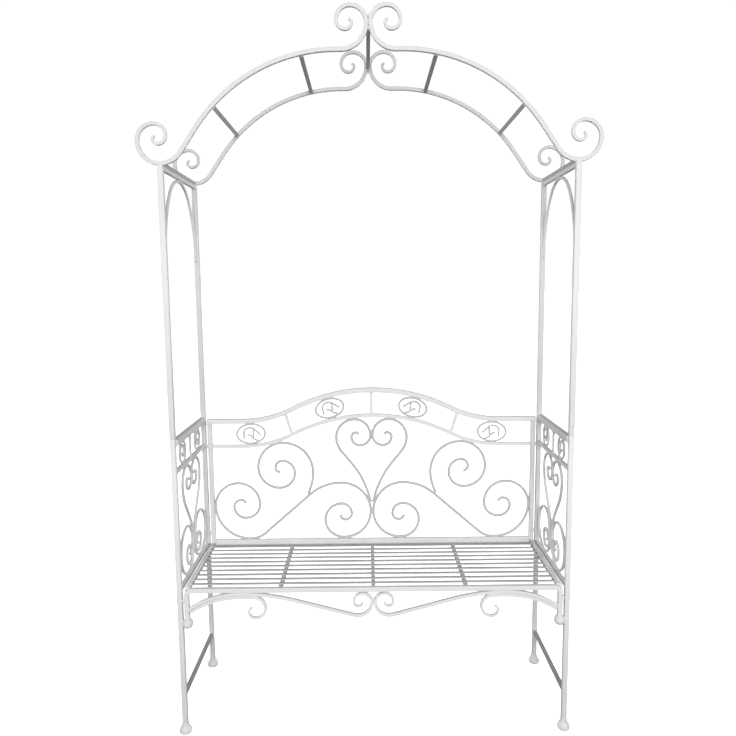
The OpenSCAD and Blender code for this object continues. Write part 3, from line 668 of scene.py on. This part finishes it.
leg = SEAT_BAR_Z - SEAT_BAR - CUP_Z - CUP_H
front_path = trace((-LEG_X, CUP_Z + CUP_H, 90), [(0, leg), (-90, SEAT_BAR), (0, 2 * (LEG_X - SEAT_BAR)),
                                                 (-90, SEAT_BAR), (0, leg)])
front = Piece()
front.sweep(across(-POST_Y), front_path, SEAT_BAR, SEAT_BAR, SEAT_EDGE)
front.build("seat_front_rail_tube", ["seat_front_rail"], TUBE_PAINT)

seat_front_y, seat_back_y = -POST_Y + SEAT_BAR / 2, POST_Y - SEAT_BAR / 2
sides = Piece()
for x in (-LEG_X, LEG_X):
    sides.bar((x, seat_front_y, SEAT_BAR_Z), (x, POST_Y + POST / 2, SEAT_BAR_Z), SEAT_BAR, SEAT_BAR,
              SEAT_EDGE, chamfer=0.5)
    WELDS.fillet((x, seat_front_y, SEAT_BAR_Z), BACK, SEAT_BAR, SEAT_BAR, SEAT_EDGE, bead=1.6)
sides.build("seat_side_rail_tubes", ["seat_side_rails"], TUBE_PAINT)

seat_back = Piece()
seat_back.bar((-BENCH_INNER_X, POST_Y, SEAT_BAR_Z), (BENCH_INNER_X, POST_Y, SEAT_BAR_Z), SEAT_BAR,
              SEAT_BAR, SEAT_EDGE)
for s in SIDES:
    WELDS.fillet((s * BENCH_INNER_X, POST_Y, SEAT_BAR_Z), (-s, 0, 0), SEAT_BAR, SEAT_BAR, SEAT_EDGE,
                 bead=1.6)
seat_back.build("seat_back_rail_tube", ["seat_back_rail"], TUBE_PAINT)

bearers = Piece()
bearer_h = SEAT_BAR - SLAT_T
bearer_z = SEAT_Z - SEAT_BAR + bearer_h / 2
for x in BEARER_X:
    bearers.bar((x, seat_front_y, bearer_z), (x, seat_back_y, bearer_z), RAIL, bearer_h, FLAT_EDGE)
    WELDS.fillet((x, seat_front_y, bearer_z), BACK, RAIL, bearer_h, FLAT_EDGE, bead=2.4)
    WELDS.fillet((x, seat_back_y, bearer_z), (0, -1, 0), RAIL, bearer_h, FLAT_EDGE, bead=2.0)
bearers.build("slat_bearer_bars", ["slat_bearers"], TUBE_PAINT)

slats = Piece()
slat_z = SEAT_Z - SLAT_T / 2
for i in range(SLAT_COUNT):
    y = SLAT_SHIFT + (i - (SLAT_COUNT - 1) / 2) * SLAT_PITCH
    slats.bar((-BENCH_INNER_X, y, slat_z), (BENCH_INNER_X, y, slat_z), SLAT_W, SLAT_T, FLAT_EDGE)
    for s in SIDES:
        WELDS.fillet((s * BENCH_INNER_X, y, slat_z), (-s, 0, 0), SLAT_W, SLAT_T - 0.6, FLAT_EDGE, bead=1.0)
slats.build("seat_slat_bars", ["seat_slats"], SLAT_SHADE_PAINT)

# ---- Apron bars ----

apron_top = (APRON_MID_X, APRON_TOP_Z, 180)
long_outer = trace(apron_top, [(APRON_BEND, APRON_SHORT_R + APRON + APRON_GAP)])
long_start = (APRON_TOUCH_X, APRON_LOW_Z + APRON_DIP_R, -90)
long_bottom = [(-90, APRON_DIP_R), (-APRON_SLOPE, APRON_RISE_R)]
low_x, low_z, _ = moved_all(long_start, long_bottom)
rise, run = APRON_TOP_Z - low_z, low_x - APRON_MID_X
crown_r = (run * sin(APRON_SLOPE) - rise * cos(APRON_SLOPE)) / (1 - cos(APRON_SLOPE))
straight = (rise - crown_r * (1 - cos(APRON_SLOPE))) / sin(APRON_SLOPE)
long_low = trace(long_start, long_bottom + [(0, straight), (APRON_SLOPE, crown_r)])
curl = trace((APRON_TOUCH_X, APRON_LOW_Z + APRON_DIP_R, 90), APRON_CURL, 6, 6)
long_path = joined(joined(backwards(curl), long_low), long_outer)
long_widths = (taper(len(curl) - 1, APRON_TIP, APRON)
               + taper(len(long_low) + len(long_outer) - 1, APRON, APRON))
short_z = APRON_TOP_Z - APRON - APRON_GAP
short_outer = trace((APRON_MID_X, short_z, 180), [(APRON_BEND, APRON_SHORT_R)])
short_line = [(0, APRON_SHORT_TOP_X - APRON_MID_X)] + APRON_SHORT_SCROLL
short_scroll = trace((APRON_MID_X, short_z, 0), short_line, 6, 6)
short_path = joined(backwards(short_scroll), short_outer)
short_widths = taper(len(short_scroll), APRON_TIP, APRON) + taper(len(short_outer) - 1, APRON, APRON)
for m, lr in MIRRORS:
    for kind, path, widths in (("long", long_path, long_widths), ("short", short_path, short_widths)):
        bar = Piece()
        bar.sweep(across(-POST_Y), path, widths, RAIL, APRON_EDGE, tips=(True, False), mirror=m)
        bar.build(f"apron_{kind}_{lr}_bar", [f"apron_{kind}_{lr}"], TUBE_PAINT)
    WELDS.tack((m * APRON_MID_X, -POST_Y, SEAT_Z - SEAT_BAR), 9, 4.5, 1.4)
    WELDS.tack((m * (APRON_MID_X + 20), -POST_Y, APRON_TOP_Z - APRON / 2), 9, 4.5, 1.2)
    WELDS.tack((m * APRON_CURL_WELD_X, -POST_Y, SEAT_Z - SEAT_BAR - 1), 6, 4, 1.6)
WELDS.tack((0, -POST_Y, APRON_LOW_Z + APRON_DIP_R), 1.6, 4.5, 6)

# ---- Back panel ----

BACK_SLOPE = 2 * math.degrees(math.atan(BACK_RISE / BACK_FLAT_X))
BACK_HEEL_R = BACK_FLAT_X / sin(BACK_SLOPE) - BACK_CROWN_R


def back_line(end_x, end_z):
    """The wave of a back rail, from end to end."""
    half = [(0, end_x - BACK_FLAT_X), (BACK_SLOPE, BACK_HEEL_R), (-BACK_SLOPE, BACK_CROWN_R)]
    left = trace((-end_x, end_z, 0), half, 3, 10)
    return joined(left, backwards([(-x, y, 180 - h) for x, y, h in left]))


def top_rail_at(x):
    """Height and slope of the middle of the top rail at a place across."""
    crown_x, away = BACK_CROWN_R * sin(BACK_SLOPE), abs(x)
    if away < crown_x:
        z = BACK_END_Z + BACK_RISE - BACK_CROWN_R + math.sqrt(BACK_CROWN_R ** 2 - away ** 2)
        slope = -math.degrees(math.asin(away / BACK_CROWN_R))
    else:
        back = max(0.0, BACK_FLAT_X - away)
        z = BACK_END_Z + BACK_HEEL_R - math.sqrt(BACK_HEEL_R ** 2 - back ** 2)
        slope = -math.degrees(math.asin(back / BACK_HEEL_R))
    return z, math.copysign(1, x) * slope if x else 0.0


# Unless told otherwise, panel pieces take a grey copy of the paint, which is painted shade on the thin rods.
def panel_piece(name, cad_node, path, size, edge, tips=(False, False), mirrors=(1,),
                material=SCROLL_SHADE_PAINT):
    """A bent square bar or rod of the back panel, or one for each mirror."""
    made = Piece()
    for m in mirrors:
        made.sweep(across(POST_Y), path, size, size, edge, tips=tips, mirror=m)
    made.build(name, [cad_node], material)


inner_x = UPRIGHT_X - POST / 2
panel_piece("back_top_rail_tube", "back_top_rail", back_line(BENCH_X, BACK_END_Z), POST, POST_EDGE,
            material=TUBE_PAINT)
panel_piece("back_mid_rail_bar", "back_mid_rail", back_line(inner_x, BACK_END_Z - BACK_MID_DROP), RAIL,
            RAIL_EDGE, material=TUBE_PAINT)

low_rail = Piece()
low_z = SEAT_Z + LOW_RAIL_H / 2
low_rail.bar((-inner_x, POST_Y, low_z), (inner_x, POST_Y, low_z), RAIL, LOW_RAIL_H, RAIL_EDGE)
low_rail.build("back_low_rail_bar", ["back_low_rail"], TUBE_PAINT)
for s, lr in LEFT_RIGHT:
    upright = Piece()
    foot = (s * UPRIGHT_X, POST_Y, SEAT_Z)
    head = (s * UPRIGHT_X, POST_Y, BACK_END_Z - POST / 2)
    upright.bar(foot, head, POST, POST, POST_EDGE, up=BACK)
    upright.build(f"back_upright_{lr}_tube", [f"back_upright_{lr}"], TUBE_PAINT)
    WELDS.fillet(foot, UP, POST, POST, POST_EDGE, bead=1.4, up=BACK)
    WELDS.fillet(head, (0, 0, -1), POST, POST, POST_EDGE, bead=1.8, up=BACK)
    WELDS.fillet((s * inner_x, POST_Y, BACK_END_Z - BACK_MID_DROP), (-s, 0, 0), RAIL, RAIL, RAIL_EDGE,
                 bead=1.8)
    WELDS.fillet((s * inner_x, POST_Y, low_z), (-s, 0, 0), RAIL, LOW_RAIL_H, RAIL_EDGE, bead=1.8)

bars = Piece()
band_mid = (BACK_MID_DROP + (POST - RAIL) / 2) / 2
for x in BAND_BAR_X:
    z = top_rail_at(x)[0] - band_mid
    lean = math.copysign(BAND_BAR_LEAN, -x) if x else 0.0
    along = Vector((-sin(lean), 0, cos(lean)))
    half = (BACK_MID_DROP - RAIL / 2 - POST / 2) / 2 / cos(lean) - (BAND_BAR_CUT if x else 0)
    ends = [Vector((x, POST_Y, z)) - along * half, Vector((x, POST_Y, z)) + along * half]
    bars.bar(ends[0], ends[1], BAND_BAR_W, ROD, BAND_EDGE, up=BACK)
    for end, way in ((ends[0], along), (ends[1], -along)):
        WELDS.tack(end + way * 1.5, 6.4, 5.0, 2.0)
bars.build("back_band_bar_rods", ["back_band_bars"], TUBE_PAINT)

rings = Piece()
for x in BACK_RING_X:
    z, slope = top_rail_at(x)
    drop = BACK_MID_DROP * cos(slope)
    mid = drop / 2 + (POST - RAIL) / 4
    half_h = (drop - (POST + RAIL) / 2) / 2
    centre = (x + mid * sin(slope), z - mid * cos(slope))

    def tilted(a, b, d, centre=centre, slope=slope):
        return Vector((centre[0] + a * cos(slope) - b * sin(slope), POST_Y + d,
                       centre[1] + a * sin(slope) + b * cos(slope)))

    ring_parts(rings, tilted, BACK_RING_HALF, half_h + BACK_RING_BITE, mirror=-1 if x > 0 else 1)
    for side in SIDES:
        WELDS.tack(tilted(0, side * half_h, 0), 6.5, 3.2, 1.6)
rings.build("back_ring_rods", ["back_rings"], SCROLL_SHADE_PAINT)

heart_path = joined(backwards(trace(HEART_START, HEART_TOP)),
                    trace((HEART_START[0], HEART_START[1], -90), HEART_LINE))
panel_piece("back_heart_rods", "back_heart", heart_path, ROD, ROD_EDGE, (True, False), SIDES)
s_path = joined(backwards(trace((SCROLL_TOUCH_X, S_JOIN_Z, -90), S_COIL)),
                trace((SCROLL_TOUCH_X, S_JOIN_Z, 90), S_SWEEP))
c_path = joined(backwards(trace(C_START, C_TOP)), trace((C_START[0], C_START[1], -90), C_TAIL))
for m, lr in MIRRORS:
    panel_piece(f"s_scroll_{lr}_rod", f"s_scroll_{lr}", s_path, ROD, ROD_EDGE, (True, True), (m,))
    panel_piece(f"c_scroll_{lr}_rod", f"c_scroll_{lr}", c_path, ROD, ROD_EDGE, (True, True), (m,))
    heart_top_z = HEART_START[1] + HEART_TOP[0][1] + ROD / 2
    WELDS.tack((m * (HEART_START[0] + 60), POST_Y, heart_top_z), 8, 3.6, 1.6)
    WELDS.tack((m * (SCROLL_TOUCH_X - S_COIL[0][1]), POST_Y, LOW_RAIL_TOP), 8, 3.6, 1.6)
for z in (S_JOIN_Z, S_JOIN_Z + 8):
    WELDS.tack((0, POST_Y, z), 1.4, 3.6, 7)

# ---- Bolts, spacers and hidden parts ----

# Each bolt is the place of its head, the way the head points and the shaft's diameter
ARCH_BOLTS = [((x, y, POST_TOP_Z + RAIL), UP, BOLT_D) for x in BOTH for y in (-ARCH_BOLT_Y, ARCH_BOLT_Y)]
SIDE_BOLT_PLACES = ((-POST_Y, SEAT_BOLT_Z), (POST_Y, LOW_BOLT_Z), (POST_Y, BACK_END_Z - BACK_MID_DROP))
SIDE_BOLTS = [((s * (POST_X + POST / 2), y, z), (s, 0, 0), BOLT_D) for s in SIDES
              for y, z in SIDE_BOLT_PLACES]
RAIL_BOLTS = [((x, POST_Y, SEAT_Z - SEAT_BAR), (0, 0, -1), BOLT_D) for x in (-RAIL_BOLT_X, RAIL_BOLT_X)]
SCREWS = [((x, s * (POST_Y + POST / 2), JOINT_Z + JOINT_SCREW_UP), (0, s, 0), SCREW_D)
          for x in BOTH for s in SIDES]


def bolt_head(piece, centre, axis, d):
    """A low domed head with a hexagon socket, and a short stretch of the shaft inside."""
    centre, axis = Vector(centre), Vector(axis)
    side = axis.orthogonal().normalized()
    other = axis.cross(side)
    r = 0.85 * d
    steps = 36

    def ring(radius, z, flat=0.0):
        """A circle, or with flat = 1 the hexagon inside it."""
        out = []
        for k in range(steps):
            t = 360 * k / steps
            hexagon = cos(30) / cos((t % 60) - 30)
            q = radius * (1 + (hexagon - 1) * flat)
            out.append(centre + axis * z + (side * cos(t) + other * sin(t)) * q)
        return out

    piece.loft([ring(d / 2, -4), ring(d / 2, 0.05), ring(r - 0.2, 0.05), ring(r, 0.25), ring(r, 0.6),
                ring(r * 0.93, 1.1), ring(r * 0.8, 1.65), ring(r * 0.6, 2.1), ring(r * 0.42, 2.28, 0.6),
                ring(r * 0.38, 2.22, 1), ring(r * 0.36, 0.9, 1)])


heads = Piece()
for centre, axis, d in ARCH_BOLTS + SIDE_BOLTS + RAIL_BOLTS + SCREWS:
    bolt_head(heads, centre, axis, d)
heads.build("bolt_heads", ["bolts"], BOLT_PAINT, sharp=35)

spacers = Piece()
spacer_r, spacer_hole_r, spacer_edge = SPACER_D / 2, 3.4, 0.4
spacer = [(spacer_hole_r, 0), (spacer_r - spacer_edge, 0), (spacer_r, spacer_edge),
          (spacer_r, SIDE_GAP - spacer_edge), (spacer_r - spacer_edge, SIDE_GAP), (spacer_hole_r, SIDE_GAP)]
for (x, y, z), out, _ in SIDE_BOLTS:
    spacers.turned((x - out[0] * (POST + SIDE_GAP), y, z), out, spacer)
spacers.build("spacer_rings", ["spacers"], BOLT_PAINT)

WELDS.build("weld_beads", [], WELD_PAINT, sharp=80)

for name in ("post_joiners", "threaded_inserts"):
    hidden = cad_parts[name]
    hidden.data.materials.clear()
    hidden.data.materials.append(ZINC)

# ---- Floor, light and camera ----

FLOOR_HALF = 200.0
BACKDROP = (1.05, 1.05, 1.05)
LIGHT_TARGET = (0, 0, 1.1)
LENS, SENSOR = 32.53, 36.0
CAMERA_PLACE = (-10.94, -2115.43, 1372.56)
YAW, PITCH, ROLL = -0.0303, -6.8782, 0.5548

floor_mesh = bpy.data.meshes.new("floor")
floor_corners = [(x * FLOOR_HALF, y * FLOOR_HALF, 0) for x, y in ((-1, -1), (1, -1), (1, 1), (-1, 1))]
floor_mesh.from_pydata(floor_corners, [], [(0, 1, 2, 3)])
floor = bpy.data.objects.new("floor", floor_mesh)
bpy.context.scene.collection.objects.link(floor)
floor_material, _, floor_shader = new_material("floor_white")
floor_shader.inputs["Base Color"].default_value = (0.95, 0.95, 0.95, 1)
floor_shader.inputs["Roughness"].default_value = 0.9
floor_shader.inputs["Specular IOR Level"].default_value = 0.0
floor_shader.inputs["Emission Color"].default_value = (1, 1, 1, 1)
floor_shader.inputs["Emission Strength"].default_value = 1.0
floor_mesh.materials.append(floor_material)
# The floor lights nothing from below, as a backdrop far under the object would
floor.visible_diffuse = False
floor.visible_glossy = False

world = bpy.data.worlds.new("studio")
bpy.context.scene.world = world
world.use_nodes = True
sky = world.node_tree
direction = node(sky, "ShaderNodeTexCoord").outputs["Generated"]
height = node(sky, "ShaderNodeSeparateXYZ", [(0, direction)]).outputs["Z"]
upward = maths(sky, "MULTIPLY_ADD", height, 0.5, 0.5)
dome = ramp(sky, upward, [(0.0, 0.06), (0.45, 0.09), (0.55, 0.21), (1.0, 0.21)])
# The backdrop itself is white; only its light on the object follows the dome
seen = node(sky, "ShaderNodeLightPath").outputs["Is Camera Ray"]
sky.links.new(mixed(sky, seen, dome, BACKDROP), sky.nodes["Background"].inputs["Color"])


def area_light(name, place, size, power):
    data = bpy.data.lights.new(name, "AREA")
    data.shape = "RECTANGLE"
    data.size, data.size_y = size
    data.energy = power
    lamp = bpy.data.objects.new(name, data)
    lamp.location = place
    lamp.rotation_euler = (Vector(LIGHT_TARGET) - Vector(place)).to_track_quat("-Z", "Y").to_euler()
    bpy.context.scene.collection.objects.link(lamp)


area_light("key", (0.15, -5.0, 2.0), (2.4, 1.6), 242.0)
for s, lr in LEFT_RIGHT:
    area_light(f"rim_{lr}", (s * 3.6, 3.1, 1.1), (1.4, 2.0), 145.0)

camera_data = bpy.data.cameras.new("camera")
camera_data.sensor_width = SENSOR
camera_data.lens = LENS
camera_data.clip_end = 1000.0
camera = bpy.data.objects.new("camera", camera_data)
bpy.context.scene.collection.objects.link(camera)
turn = (Matrix.Rotation(math.radians(YAW), 3, "Z") @ Matrix.Rotation(math.radians(PITCH), 3, "X")
        @ Matrix.Rotation(math.radians(ROLL), 3, "Y"))
# A camera looks along its -Z with +Y up, so its axes are the frame's X, Z and -Y, turned
pose = Matrix((turn.col[0], turn.col[2], -turn.col[1])).transposed().to_4x4()
pose.translation = Vector(CAMERA_PLACE) * MM
camera.matrix_world = pose
bpy.context.scene.camera = camera
bpy.context.scene.view_settings.view_transform = "Standard"
